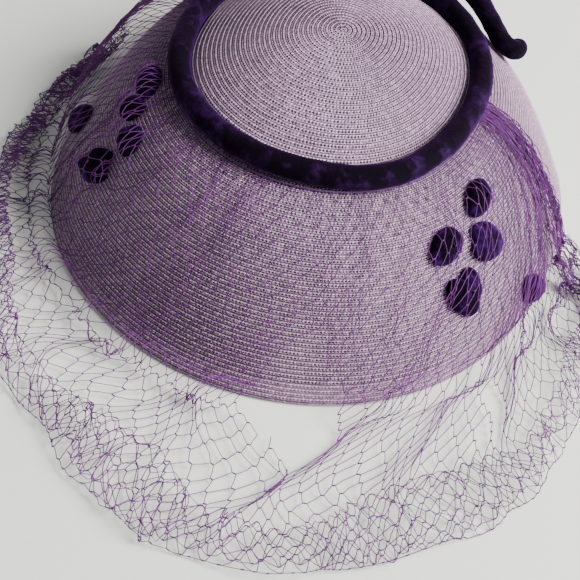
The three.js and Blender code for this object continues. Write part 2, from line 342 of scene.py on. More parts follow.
def rgb(value):
    """A colour given as 0 to 255 screen values, or a socket."""
    if isinstance(value, bpy.types.NodeSocket):
        return value
    linear = [((c / 255 + 0.055) / 1.055) ** 2.4 if c > 10 else c / 255 / 12.92 for c in value]
    return (*linear, 1.0)


def straw_braid(name="straw_braid", open_share=1.0):
    """Plaited straw: two beaded ridges to a sewn row, with stitch gaps between them. The ridges carry a
    painted highlight, the seams between rows and the stitch gaps a painted shade, and the strands'
    random brightness (glint) is a painted glint. open_share scales the painted shade: it is weaker at
    the hat's edge, where the braid is drawn tight, so that the edge is painted lighter."""
    n = Nodes(name)
    uv = n.node("UVMap", uv_map="braid").outputs[0]
    xyz = n.node("SeparateXYZ", {0: uv})
    u, v = xyz.outputs[0], xyz.outputs[1]
    fv = n.math("FRACT", v)
    row = n.math("FLOOR", v)
    place = n.place()

    def line(at, half):
        """1 along a ridge of the row, 0 away from it."""
        return n.fit(n.math("ABSOLUTE", n.math("SUBTRACT", fv, at)), half * 0.35, half, 1, 0)

    def beads(shift):
        """1 in the middle of each strand's slanted turn over the ridge, 0 between two of them."""
        slanted = n.math("ADD", n.math("ADD", u, shift), n.math("MULTIPLY", fv, 1.2))
        return n.math("MULTIPLY", n.math("PINGPONG", slanted, 0.5), 2.0)

    def hole(at_u, at_v, size, key):
        """Gaps between strands, one to a bead, some of them nearly closed; painted dark as shade."""
        shifted = n.math("ADD", u, 0.5 - at_u)
        far_u = n.math("ABSOLUTE", n.math("SUBTRACT", n.math("FRACT", shifted), 0.5))
        far_v = n.math("MULTIPLY", n.math("ABSOLUTE", n.math("SUBTRACT", fv, at_v)), 1.6)
        far = n.math("SQRT", n.math("ADD", n.math("POWER", far_u, 2.0), n.math("POWER", far_v, 2.0)))
        chance = n.random(n.math("ADD", n.math("FLOOR", shifted), key), row)
        return n.math("MULTIPLY", n.fit(far, size * 0.5, size, 1, 0), n.fit(chance, 0.1, 0.5, 0.3, 1))

    glint = n.random(n.math("FLOOR", n.math("ADD", u, 0.5)), n.math("FLOOR", n.math("MULTIPLY", v, 2.0)))
    first = n.math("MULTIPLY", line(0.27, 0.19), n.blend(beads(0.0), 0.18, 1.0))
    second = n.math("MULTIPLY", line(0.72, 0.17), n.blend(beads(0.5), 0.05, 0.85))
    ridge = n.math("MULTIPLY", n.math("MAXIMUM", first, second), n.blend(glint, 0.55, 1.0))
    shaded_holes = n.math("MAXIMUM", hole(0.5, 0.50, 0.42, 0.0), hole(0.0, 0.97, 0.38, 17.0))
    seam = n.math("MAXIMUM", line(0.0, 0.15), line(1.0, 0.15))
    fade = n.noise(place, 14, 3)
    patch = n.noise(place, 150, 2)
    speck = n.noise(place, 950, 1, 0.6)

    body = n.mix(glint, (92, 54, 94), (184, 132, 182))
    body = n.mix(n.fit(speck, 0.38, 0.5, 0.55, 0), body, (70, 38, 76))
    body = n.mix(n.fit(fade, 0.35, 0.65, 0, 0.3), body, (170, 130, 160))
    body = n.mix(n.fit(patch, 0.45, 0.75, 0, 0.35), body, (118, 78, 126))
    # Painted highlight: a near-white colour laid along the ridges, broken into beads, on top of their
    # bump.
    body = n.mix(n.math("MULTIPLY", ridge, n.fit(speck, 0.35, 0.6, 0.6, 1)), body, (255, 226, 251))
    # Painted shade: dark colour in the seams between rows and in the stitch gaps, scaled by open_share.
    body = n.mix(n.math("MULTIPLY", seam, 0.95 * open_share), body, (58, 30, 62))
    body = n.mix(n.math("MULTIPLY", shaded_holes, 0.95 * open_share), body, (38, 16, 44))

    height = n.math("SUBTRACT", ridge, n.math("MULTIPLY", shaded_holes, 0.9))
    height = n.math("SUBTRACT", height, n.math("MULTIPLY", seam, 0.5))
    rough = n.math("ADD", n.blend(glint, 0.34, 0.62), n.math("MULTIPLY", shaded_holes, 0.3))
    return n.finish(Base_Color=body, Roughness=rough, Normal=n.bump(height, 0.0006, 1.0),
                    Specular_IOR_Level=0.45, Sheen_Weight=0.08, Sheen_Roughness=0.5)


# lean gives the colour of the painted highlight, and the last argument the strength of the painted grazing
# sheen.
def violet_velvet(name="violet_velvet", lean=(46, 11, 68), rim_sheen=0.4):
    """Silk velvet: near black looked straight at, with a painted violet highlight in noise patches where
    the pile leans, and a painted violet sheen where the surface turns away from view.
    """
    n = Nodes(name)
    place = n.place()
    leaning = n.noise(place, 70, 3, 0.6)
    rubbed_and_sheen = n.noise(place, 240, 3, 0.65)
    pile = n.noise(place, 3600, 1, 0.5)
    # Painted highlight: lit marks noise patches of crushed, leaning pile, painted in the lighter violet
    # below; the same noises also shape the bump.
    lit = n.math("MULTIPLY", n.fit(leaning, 0.48, 0.64), n.fit(rubbed_and_sheen, 0.36, 0.66, 0.2, 1))
    facing = n.node("LayerWeight", {"Blend": 0.4}).outputs["Facing"]
    # Painted highlight: the near-black velvet mixed towards the violet highlight colour where lit is high.
    colour = n.mix(n.math("MULTIPLY", lit, 0.8), (7, 2, 13), lean)
    colour = n.mix(n.fit(pile, 0.35, 0.7, 0, 0.4), colour, (5, 1, 10))
    # Painted sheen: violet colour mixed in by the view's facing angle, strongest at grazing angles.
    colour = n.mix(n.fit(facing, 0.45, 1, 0, rim_sheen), colour, (74, 22, 112))
    height = n.math("ADD", n.math("MULTIPLY", leaning, 1.6), n.math("MULTIPLY", rubbed_and_sheen, 0.8))
    height = n.math("ADD", height, n.math("MULTIPLY", pile, 0.3))
    return n.finish(Base_Color=colour, Roughness=n.blend(lit, 0.95, 0.65),
                    Normal=n.bump(height, 0.0010, 0.8), Specular_IOR_Level=0.06, Sheen_Weight=0.08,
                    Sheen_Roughness=0.4, Sheen_Tint=(0.36, 0.07, 0.52, 1))


def veil_thread():
    """Twisted silk net thread, violet, a little uneven in its dye."""
    n = Nodes("veil_net")
    place = n.place()
    dye = n.noise(place, 55, 3)
    twist = n.noise(place, 5200, 1)
    colour = n.mix(n.fit(dye, 0.35, 0.65), (80, 22, 92), (108, 40, 120))
    colour = n.mix(n.fit(twist, 0.35, 0.7, 0, 0.4), colour, (48, 16, 64))
    return n.finish(Base_Color=colour, Roughness=n.blend(twist, 0.5, 0.75),
                    Normal=n.bump(twist, 0.00008, 0.6), Specular_IOR_Level=0.22, Sheen_Weight=0.05)


def grosgrain_ribbon():
    """Ribbed ribbon: cords across its length."""
    n = Nodes("grosgrain")
    place = n.place()
    xyz = n.node("SeparateXYZ", {0: place})
    around = n.math("ARCTAN2", xyz.outputs[0], n.math("MULTIPLY", xyz.outputs[1], -1.0))
    ribs = n.math("SINE", n.math("MULTIPLY", around, 640.0))
    weave = n.noise(place, 1800, 2)
    wear = n.noise(place, 40, 3)
    colour = n.mix(n.fit(ribs, -0.9, 0.9), (96, 76, 108), (158, 136, 168))
    colour = n.mix(n.fit(wear, 0.4, 0.7, 0, 0.4), colour, (138, 118, 140))
    colour = n.mix(n.fit(weave, 0.4, 0.7, 0, 0.25), colour, (88, 68, 98))
    height = n.math("ADD", ribs, n.math("MULTIPLY", weave, 0.5))
    return n.finish(Base_Color=colour, Roughness=n.blend(weave, 0.6, 0.85),
                    Normal=n.bump(height, 0.00025, 0.9), Sheen_Weight=0.2)


def cotton_wadding():
    n = Nodes("cotton_wadding")
    place = n.place()
    tuft = n.noise(place, 420, 5, 0.7)
    colour = n.mix(n.fit(tuft, 0.3, 0.7), (196, 188, 176), (238, 234, 226))
    return n.finish(Base_Color=colour, Roughness=n.blend(tuft, 0.9, 1.0),
                    Normal=n.bump(tuft, 0.0012, 0.9), Sheen_Weight=0.4)


def sewing_thread():
    n = Nodes("sewing_thread")
    place = n.place()
    twist = n.node("TexWave", {"Vector": place, "Scale": 900.0, "Distortion": 2.0}).outputs[1]
    colour = n.mix(twist, (58, 30, 78), (112, 72, 132))
    return n.finish(Base_Color=colour, Roughness=n.blend(twist, 0.55, 0.8),
                    Normal=n.bump(twist, 0.0001, 0.8))


def spring_wire():
    n = Nodes("spring_wire")
    place = n.place()
    drawn = n.noise(place, 900, 3)
    colour = n.mix(drawn, (120, 120, 124), (176, 176, 180))
    return n.finish(Base_Color=colour, Roughness=n.blend(drawn, 0.28, 0.5), Metallic=1.0,
                    Normal=n.bump(drawn, 0.00005, 0.5))


STRAW = straw_braid()
# The same straw with its painted seam and stitch-gap shade cut to 0.45, so the hat's edge is painted
# lighter.
STRAW_EDGE = straw_braid("straw_braid_edge", 0.45)
VELVET = violet_velvet()
NET = veil_thread()


# --- the straw ----------------------------------------------------------------------------------

RIDGE = [(0.0, 0.0), (0.12, 0.62), (0.28, 0.82), (0.5, 0.48), (0.74, 0.60)]  # share of a row, rise
UNDER_RIDGE = [(0.0, 0.0), (0.5, 0.3)]
RIDGE_SINK = 0.5  # the rows' valleys lie this far inside the CAD surface
SEGMENTS = 288


def line_rows(points, rows, ridge, first_row):
    """A sewn surface along a (radius, height) line: its points and how many rows along each is."""
    points = np.asarray(points, float)
    run = np.concatenate([[0], np.cumsum(np.linalg.norm(np.diff(points, axis=0), axis=1))])
    made, at = [], []
    for row, share, rise in [(r, *step) for r in range(rows) for step in ridge] + [(rows, 0.0, 0.0)]:
        s = run[-1] * (row + share) / rows
        here = np.array([np.interp(s, run, points[:, k]) for k in (0, 1)])
        ends = [np.array([np.interp(np.clip(s + d, 0, run[-1]), run, points[:, k])
                          for k in (0, 1)]) for d in (-1.0, 1.0)]
        along = ends[1] - ends[0]
        along /= np.linalg.norm(along)
        made.append(here + np.array([-along[1], along[0]]) * (rise - RIDGE_SINK))
        at.append(first_row + row + share)
    return made, at


def line_length(points):
    return float(np.linalg.norm(np.diff(np.asarray(points, float), axis=0), axis=1).sum())


def oval_shell(name, outer, inner, pitch):
    """A closed sewn body turned round the oval from its outer line and then its inner one."""
    rows, under = round(line_length(outer) / pitch), round(line_length(inner) / pitch)
    outer_points, outer_at = line_rows(outer, rows, RIDGE, 0)
    inner_points, inner_at = line_rows(inner, under, UNDER_RIDGE, rows)
    rh, v = np.array(outer_points + inner_points), np.array(outer_at + inner_at)
    angle = np.arange(SEGMENTS) * 360 / SEGMENTS
    grid = oval_point(angle[None, :], rh[:, 0][:, None], rh[:, 1][:, None])
    faces = grid_faces(len(rh), SEGMENTS, closed_rows=True, closed_columns=True)
    v_next = np.maximum(np.append(v[1:], v[-1]), v + 0.01)
    face_row = np.floor((v + v_next) / 2).astype(int)
    mean_r = (rh[:, 0] + np.roll(rh[:, 0], -1)) / 2
    row_r = np.array([mean_r[face_row == r].mean() for r in face_row])
    beads = np.maximum(4, np.round(2 * math.pi * row_r / BEAD))
    shift = np.random.default_rng(7).uniform(0, 1, rows + under + 2)[face_row]
    j = np.arange(SEGMENTS)
    left = beads[:, None] * (j / SEGMENTS)[None, :] + shift[:, None]
    right = beads[:, None] * ((j + 1) / SEGMENTS)[None, :] + shift[:, None]
    low = np.broadcast_to(v[:, None], left.shape)
    high = np.broadcast_to(v_next[:, None] - 1e-4, left.shape)
    uv = np.stack([np.stack([left, low], -1), np.stack([right, low], -1),
                   np.stack([right, high], -1), np.stack([left, high], -1)], 2)
    return new_piece(name, grid.reshape(-1, 3), faces, STRAW, uv=uv.reshape(-1, 2))


def crown_line(depth):
    share = np.linspace(0.004, 1, 60)
    dome = [(CROWN_RADIUS * s, APEX - depth - CROWN_DROP * s * s) for s in share]
    shoulder = APEX - CROWN_DROP
    wall = CROWN_RADIUS + 2.4 - depth
    return dome + [(CROWN_RADIUS + 1.6 - depth, shoulder - 2.5), (wall, shoulder - 6),
                   (wall, shoulder - CROWN_SKIRT)]


def straw_crown():
    piece = oval_shell("straw_crown_braid", crown_line(0), crown_line(BRAID)[::-1], CROWN_ROW)
    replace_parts(piece, "straw_crown")
    return piece


def straw_brim():
    outer = slope(np.linspace(0, 0.936, 90))
    inner = slope(np.linspace(0.936, 0, 90), -BRAID)
    piece = oval_shell("straw_brim_braid", outer, inner, BRIM_ROW)
    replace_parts(piece, "straw_brim")
    return piece


def keep_above_ground(vertices):
    places = np.empty(len(vertices) * 3)
    vertices.foreach_get("co", places)
    places[2::3] = np.maximum(places[2::3], 0.0)
    vertices.foreach_set("co", places)


def straw_hem():
    """The last rows and their turned-under edge, a body that closes round the edge wire."""
    foot = BRIM_RADIUS - 0.8
    round_foot = [(foot + 0.3, 1.6), (foot, 0.55), (foot - 0.7, 0.36), (foot - HEM_FOOT + 0.4, 0.36)]
    outer = [*slope(np.linspace(0.9365, 0.978, 8)), *round_foot,
             *slope(np.linspace(0.95, 0.8, 14), -HEM_DEPTH)]
    inner = [*slope(np.linspace(0.8, 0.955, 14), BRAID - HEM_DEPTH), *slope([0.968], -BRAID - 0.6),
             *slope(np.linspace(0.965, 0.938, 3), -BRAID)]
    piece = oval_shell("straw_hem_braid", outer, inner, BRIM_ROW)
    keep_above_ground(piece.data.vertices)
    piece.data.materials[0] = STRAW_EDGE
    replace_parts(piece, "brim_edge_fold")
    return piece


# --- the velvet ---------------------------------------------------------------------------------

def ring_path(count):
    angle = np.linspace(-RING_END, RING_END, count)
    beak = BEAK_OUT * bump(angle, BEAK_ANGLE, BEAK_WIDTH)
    return oval_point(angle, RING_RADIUS, RING_HEIGHT + 0 * angle, beak)


def crushed(path, wave, depth, seed, sides):
    """Soft unevenness of a velvet tube's surface, the same at both sides of its seam."""
    turn = np.linspace(0, 2 * math.pi, sides, endpoint=False)
    run = np.concatenate([[0], np.cumsum(np.linalg.norm(np.diff(path, axis=0), axis=1))])
    where = np.stack(np.broadcast_arrays(run[:, None], 5 * np.cos(turn)[None], 5 * np.sin(turn)[None]), -1)
    return depth * soft_noise(where, wave, seed)


def velvet_ring():
    count, sides = 420, 32
    path = ring_path(count)
    dents = crushed(path, 34, 0.22, 3, sides) + crushed(path, 9, 0.10, 4, sides)
    seam = 0.35 * np.exp(-((np.linspace(0, 2 * math.pi, sides, endpoint=False) - 4.2) / 0.12) ** 2)

    def radius(share, turn):
        return TUBE_RADIUS - 0.1 + dents - seam[None, :] + 0 * share

    piece = soft_tube("velvet_ring_tube", path, radius, VELVET, sides)
    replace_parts(piece, "velvet_ring")
    return piece


def rounded_end(share, length, radius):
    """Scale of a tube's radius that rounds off its far end."""
    near = 1.15 * radius
    x = np.clip((share * length - (length - near)) / near, 0, 1)
    return np.sqrt(np.maximum(1 - x ** 2.6, 0.0004))


def velvet_tail(name, route, seed):
    count, sides = 150, 32
    path, length = even_path(route, count)
    dents = crushed(path, 22, 0.35, seed, sides) + crushed(path, 7, 0.12, seed + 1, sides)

    def radius(share, turn):
        base = TAIL_RADIUS * rounded_end(share, length, TAIL_RADIUS)
        pull = 0.5 * np.exp(-((share - 0.03) / 0.03) ** 2)
        return np.maximum(base + (dents - pull) * np.minimum(base / TAIL_RADIUS, 1), 0.02)

    piece = soft_tube("velvet_tail_" + name + "_tube", path, radius, VELVET, sides)
    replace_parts(piece, "velvet_tail_" + name)
    return piece


def velvet_knot():
    """The band that binds the tube's ends: soft folds run round it."""
    count, sides = 90, 56
    half = KNOT_LENGTH / 2 - 0.1
    x = np.linspace(-half, half, count)
    path = np.stack([x, 0 * x, 0 * x], 1) + np.array(KNOT_CENTRE)

    def radius(share, turn):
        out = np.abs(2 * share - 1)
        base = (KNOT_RADIUS - 0.5) * (1 - 0.2 * out ** 2.2) * np.sqrt(np.maximum(1 - out ** 14, 0.002))
        fold = 0.5 * np.sin(share * 2 * math.pi * 4.5 + 0.5 * np.sin(turn) + 0.4 * np.sin(2 * turn + 1))
        slack = 0.35 * np.sin(3 * turn + 5 * share)
        return base + (fold + slack) * np.minimum(1, 3 * (1 - out))

    piece = soft_tube("velvet_knot_band", path, radius, VELVET, sides)
    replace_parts(piece, "velvet_knot")
    return piece


def spot_basis(angle, t, turn):
    """Centre of a spot's back, and unit vectors along its length, its width and out of the straw."""
    at, upper = slope(t, SPOT_GAP), slope(t - 0.01, SPOT_GAP)
    centre = oval_point(angle, at[0], at[1])
    up = oval_point(angle, upper[0], upper[1]) - centre
    beside = oval_point(angle + 0.5, at[0], at[1]) - centre
    beside /= np.linalg.norm(beside)
    out = np.cross(beside, up)
    out /= np.linalg.norm(out)
    up = np.cross(out, beside)
    turn = math.radians(turn)
    lengthways = beside * math.cos(turn) + up * math.sin(turn)
    return centre, lengthways, np.cross(out, lengthways), out


def spot_outline(turn, heart):
    """Radius of a hand-cut petal: an oval, drawn in at one end and notched at the other."""
    from_notch = np.degrees(np.abs((turn + math.pi) % (2 * math.pi) - math.pi))
    notch = -0.36 * heart * bump(from_notch, 0, 22)
    lobes = 0.10 * heart * bump(from_notch, 50, 24)
    point = 0.14 * heart * bump(from_notch, 180, 26) - 0.08 * heart * bump(from_notch, 135, 24)
    return 1 + notch + lobes + point


SPOT_SECTION = [(0.12, 1.0), (0.24, 0.985), (0.36, 0.95), (0.48, 0.90), (0.6, 0.83), (0.71, 0.74),
                (0.81, 0.64), (0.89, 0.53), (0.95, 0.42), (0.985, 0.31), (1.0, 0.2), (0.985, 0.1),
                (0.94, 0.03), (0.86, 0.0)]  # share of the outline's radius, share of the thickness


def velvet_spot(side, number, angle, t, length, width, turned, heart):
    centre, lengthways, widthways, out = spot_basis(angle, t, turned)
    seed = 40 + number + (10 if side == "right" else 0)
    sides, rings = 64, len(SPOT_SECTION)
    turn = np.linspace(0, 2 * math.pi, sides, endpoint=False)
    edge = spot_outline(turn, heart)
    points = [centre + out * (SPOT_THICKNESS * 0.97)]
    for reach, lift in SPOT_SECTION:
        x = np.cos(turn) * edge * reach * length / 2
        y = np.sin(turn) * edge * reach * width / 2
        plane = np.stack([x, y], 1)
        swell = soft_noise(plane, 13, seed) * 0.45 + soft_noise(plane, 5, seed + 1) * 0.16
        pinch = 0.28 * np.cos(turn * 13 + seed) * reach ** 6 * (lift > 0.15)
        z = SPOT_THICKNESS * 0.97 * lift + (swell * reach + pinch) * min(1, lift * 3)
        points.extend(centre + x[:, None] * lengthways + y[:, None] * widthways
                      + np.maximum(z, 0.02)[:, None] * out)
    points.append(centre + out * 0.02)
    faces = (grid_faces(rings, sides, closed_columns=True) + 1)[:, ::-1]
    j = np.arange(sides)
    j2 = (j + 1) % sides
    last, base = 1 + rings * sides, 1 + (rings - 1) * sides
    top = np.stack([0 * j, j + 1, j2 + 1, 0 * j], 1)
    bottom = np.stack([0 * j + last, j2 + base, j + base, 0 * j + last], 1)
    name = "velvet_spot_" + side + "_" + str(number)
    piece = new_piece(name + "_pad", np.array(points), np.vstack([faces, top, bottom]), VELVET_SPOT)
    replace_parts(tidy_mesh(piece), name)
    return piece


# --- the veil -----------------------------------------------------------------------------------

VEIL_WIDTH, VEIL_LENGTH = 1000.0, 256.0  # of the net strip laid flat, before its edge is cut
CELL_WIDE, CELL_TALL = 8.0, 10.4  # from knot to knot, across the strip and along it
THREAD_RADIUS = 0.2
KNOT_HALF_WIDE, KNOT_OVERHANG = 0.34, 0.3
KNOT_REACH = 0.6  # from its middle to where its threads leave
SLOPE_LENGTH = 98.0
GATHER_AT = 0.11  # fraction down the slope where it is sewn on
PLEATS, LAID_PLEATS = 31, 13
GRID_COLUMNS, GRID_ROWS = 640, 190
VEIL_FOOT = 150.0  # mean radius where it reaches the ground
FOLD_OUT, FOLD_IN = 0.965, 0.62  # shares of what is laid, where it folds back and out again
BORDER_CRIMP, BORDER_WAVE = 1.5, 9.0  # small folds that lie over one another along the free edge
TOP_HEAPS = [(-104, 6, 8), (-38, 12, 0.5), (8, 9, 0.35), (102, 6, 11)]  # angle, width, density
EDGE_HEAPS = [(-97, 9, 3.5), (-66, 26, 1.0), (8, 30, 0.4), (88, 8, 4)]
ROPES = [(15, 34, 0.4), (0, 38, 0.36), (34, 26, 0.3), (-22, 32, 0.25)]  # edge angle, width, pull
# where the net stands off the slope: angle, width, from, to, height
STANDS = [(-100, 24, 0.15, 0.7, 11), (96, 12, 0.4, 0.8, 3)]
PARTING_ANGLE, PARTING_HALF, PARTING_REACH = 18.5, 9.0, 28.0
MOST_STRETCH = 2.3  # threads that would stretch farther have snapped


def veil_reach(angle):
    """Mean radius at which the laid net ends, by angle."""
    share = 0.25 + 0.75 * bump(angle, 20, 42)
    corners = 8 * bump(angle, 52, 14) + 5 * bump(angle, 4, 8) - 4 * bump(angle, 24, 9)
    return 147.5 + 76.5 * share - 7 * bump(angle, -100, 22) + corners


def spread(share, heaps, low, high):
    """Angles for shares across the strip: the net is bunched where heaps say."""
    angle = np.linspace(low, high, 800)
    density = 1 + sum(size * bump(angle, centre, width) for centre, width, size in heaps)
    total = np.concatenate([[0], np.cumsum((density[1:] + density[:-1]) / 2)])
    return np.interp(share, total / total[-1], angle)


def top_angle(share):
    """Where each place across the strip is sewn on: the veil is drawn round to the left in front."""
    return spread(share, TOP_HEAPS, -108, 108) - 7 * bump(spread(share, TOP_HEAPS, -108, 108), 5, 50)


def edge_angle(share):
    return spread(share, EDGE_HEAPS, -101, 94)


def spot_lift(angle, t):
    """How far the net stands off the straw where it lies over a spot."""
    lift = np.zeros(np.broadcast(angle, t).shape)
    for spots in SPOTS.values():
        for centre, at, length, width, turned, _ in spots:
            across = np.radians(angle - centre) * slope(at)[0]
            along = (at - t) * SLOPE_LENGTH
            c, s = math.cos(math.radians(turned)), math.sin(math.radians(turned))
            x = (across * c + along * s) / (length / 2 + 2.5)
            y = (along * c - across * s) / (width / 2 + 2.5)
            far = (x ** 2 + y ** 2) ** 2
            lift = np.maximum(lift, (SPOT_THICKNESS + 0.7) / (1 + far * 1.1))
    return lift


def uneven(share, wave, seed):
    return float(soft_noise(np.array([share * VEIL_WIDTH]), wave, seed))


def column_profile(angle, share):
    """The net's (radius, height) line at one angle, from the stitching to its free edge."""
    t = np.linspace(GATHER_AT, 0.965, 40)
    stand = 0.9 + 2.4 * smooth(t, 0.6, 0.97)
    for middle, width, start, end, height in STANDS:
        stand = stand + height * bump(angle, middle, width) * smooth(t, start, end)
    on_slope = slope(t, np.maximum(stand, spot_lift(angle, t) + 0.3))
    reach = float(veil_reach(angle)) + 2.2 * uneven(share, 120, 51) + 0.9 * uneven(share, 45, 52)
    laid = max(reach - VEIL_FOOT, 8)
    bulge = 4.5 + 1.8 * uneven(share, 90, 53) + 0.8 * uneven(share, 38, 54)
    slump = max(0.0, 2.5 + 2.5 * uneven(share, 75, 55))
    tuck = 3 * bump(angle, -20, 22)
    down = [(BRIM_RADIUS + 4.4, 11), (BRIM_RADIUS + 6.4 + slump, 6.5), (VEIL_FOOT + slump, 3.4),
            (VEIL_FOOT - tuck, 2.6), (VEIL_FOOT - tuck, 1.6), (VEIL_FOOT + slump * 0.2 + 1, 1.1)]
    fold = FOLD_OUT + 0.03 * uneven(share, 140, 57)
    inner = FOLD_IN + 0.10 * uneven(share, 170, 58)
    fuller = bump(angle, -70, 34)
    inner = inner - 0.42 * fuller
    again = inner + 0.62 * fuller
    home = again - 0.5 * fuller
    out = laid_pass(laid, 0.12, fold, 1.0, 1.4, share)
    back = laid_pass(laid, fold, inner, 0.5 * bulge + 1.6, 0.7 * bulge + 1.8, share + 0.3)
    third = laid_pass(laid, inner, again, 0.8 * bulge + 2.0, 0.8 * bulge + 2.1, share + 0.45)
    fourth = laid_pass(laid, again, home, 0.9 * bulge + 2.1, 0.9 * bulge + 2.2, share + 0.6)
    last = laid_pass(laid, home, 1.0, bulge + 2.2, 1.2, share + 0.7)
    return np.array([*on_slope, *down, *out, *back, *third, *fourth, *last], float)


def laid_pass(laid, start, end, low, high, shift):
    """One pass of the net over the table, crimped where it nears its outer edge."""
    x = np.linspace(start, end, 40)
    crimp = BORDER_CRIMP * (1.4 - 0.4 * smooth(laid, 20, 60))
    crimp = crimp * np.sin(2 * math.pi * laid * x / BORDER_WAVE + 3 * shift)
    crimp = crimp * smooth(laid * (x - 1), -22, -8) * smooth(laid * (1 - x), 0, 2)
    height = low + (high - low) * smooth(np.linspace(0, 1, 40), 0.1, 0.9)
    return np.stack([VEIL_FOOT + laid * x + crimp, height], 1)


def column_points(angle, share):
    """The profile's points at even steps of the strip's length."""
    line = column_profile(angle, share)
    run = np.concatenate([[0], np.cumsum(np.linalg.norm(np.diff(line, axis=0), axis=1))])
    at = np.linspace(0, VEIL_LENGTH, GRID_ROWS)
    soft = np.stack([np.interp(at, run, line[:, k]) for k in (0, 1)], 1)
    for _ in range(2):
        soft[1:-1] = (soft[:-2] + 2 * soft[1:-1] + soft[2:]) / 4
    return soft, run[-1]


def veil_surface():
    """The draped strip: a grid of points along its length and across its width, and the length
    at each place across it, for its free edge is cut in a curve."""
    share = np.linspace(0, 1, GRID_COLUMNS)
    length = np.linspace(0, 1, GRID_ROWS)
    top, edge = top_angle(share), edge_angle(share)
    move = smooth(length, 0.05, 0.6)[:, None]
    angle = top * (1 - move) + edge * move
    angle = angle - 18 * smooth(length, 0.5, 0.95)[:, None] * bump(edge, 88, 12)[None, :]
    laid = [column_points(a, s) for a, s in zip(edge, share)]
    cut = np.array([run for _, run in laid])
    laid_line = np.stack([line for line, _ in laid], 1)
    top_line = np.stack([column_points(a, s)[0] for a, s in zip(top, share)], 1)
    rh = top_line * (1 - move[..., None]) + laid_line * move[..., None]

    flat = np.stack(np.broadcast_arrays(share * VEIL_WIDTH, length[:, None] * VEIL_LENGTH), -1)
    across = share[None, :] * 2 * math.pi
    phase = across * PLEATS + 1.8 * soft_noise(flat, 130, 11)
    strength = np.clip(0.75 + 0.7 * soft_noise(flat, 85, 12), 0.05, 1.7)
    strength = strength * (1 - 0.6 * bump(edge, 10, 55) - 0.55 * bump(edge, -72, 16))[None, :]
    on_hat = (1 - smooth(length, 0.40, 0.52))[:, None]
    fullness = smooth(length, 0.0, 0.2)[:, None] * (0.35 + 0.65 * on_hat)
    sideways = (fullness * 3.6 + 1.2 * (1 - fullness)) * np.cos(phase + 0.6) * strength * on_hat
    laid_phase = across * LAID_PLEATS + 2.4 * soft_noise(flat, 160, 18)
    rough = 0.25 + 0.75 * smooth(rh[..., 0] - VEIL_FOOT, 16, 48)
    laid_strength = np.clip(0.7 + 0.8 * soft_noise(flat, 110, 19), 0, 1.8) * (1 - on_hat) * rough
    calm = (1 - 0.45 * bump(edge, 15, 32) - 0.6 * bump(edge, -92, 16))[None, :]
    laid_strength = laid_strength * calm
    sideways = sideways + 5.0 * np.cos(laid_phase) * laid_strength
    drift = smooth(length, 0.02, 0.4)[:, None]
    sideways += (5.0 * soft_noise(flat, 75, 13) + 1.3 * soft_noise(flat, 27, 14)) * drift
    crinkle = bump(edge, 88, 11)[None, :] * smooth(length, 0.04, 0.14)[:, None]
    sideways += 1.5 * crinkle * soft_noise(flat, 10, 21)
    for rope, wide, pull in ROPES:
        x = share * VEIL_WIDTH - np.interp(rope, edge, share) * VEIL_WIDTH
        held = smooth(length, 0.01, 0.06) * (1 - smooth(length, 0.18, 0.34))
        sideways -= held[:, None] * (pull * x * np.exp(-((x / wide) ** 2)))[None, :]
    angle = parting(angle + np.degrees(sideways / np.maximum(rh[..., 0], 60)), length)
    outward = (1.6 * soft_noise(flat, 60, 61) + 0.5 * soft_noise(flat, 24, 62)) * (1 - on_hat) * rough
    outward -= np.maximum(0, np.sin(laid_phase)) * laid_strength * 1.5
    base = oval_point(angle, rh[..., 0] + outward, np.maximum(rh[..., 1], 0.3))

    normal = np.cross(np.gradient(base, axis=0), np.gradient(base, axis=1))
    normal /= np.maximum(np.linalg.norm(normal, axis=-1, keepdims=True), 1e-9)
    normal *= np.where(normal[..., 2] < 0, -1, 1)[..., None]
    waves = fullness * (1.2 + 1.2 * np.sin(phase) * strength) + 0.5 * np.abs(soft_noise(flat, 20, 15))
    ground = 1.2 + 1.8 * np.sin(laid_phase) * laid_strength + 0.9 * soft_noise(flat, 34, 16) * rough
    ground = np.maximum(ground + 0.3 * soft_noise(flat, 15, 17), -1)
    lift = waves * on_hat + (1 - on_hat) * ground * np.clip((rh[..., 0] - VEIL_FOOT) / 12, 0.1, 1)
    lift = lift + 1.3 * crinkle * np.abs(soft_noise(flat, 11, 22))
    base = base + normal * lift[..., None]
    base[..., 2] = np.maximum(base[..., 2], 0.45 + 0.3 * np.abs(soft_noise(flat, 9, 20)))
    return clear_of_hat(base), cut


def parting(angle, length):
    """Opens the net along a line in front: pushes its columns aside, most at the foot."""
    down = length * VEIL_LENGTH
    half = PARTING_HALF * smooth(down, 40, 98) * (1 - np.clip((down - 100) / 32, 0, 1))
    away = angle - PARTING_ANGLE
    near = np.clip(1 - np.abs(away) / PARTING_REACH, 0, 1) * np.where(away > 0, 0.45, 1.0)
    return angle + np.sign(away) * half[:, None] * near


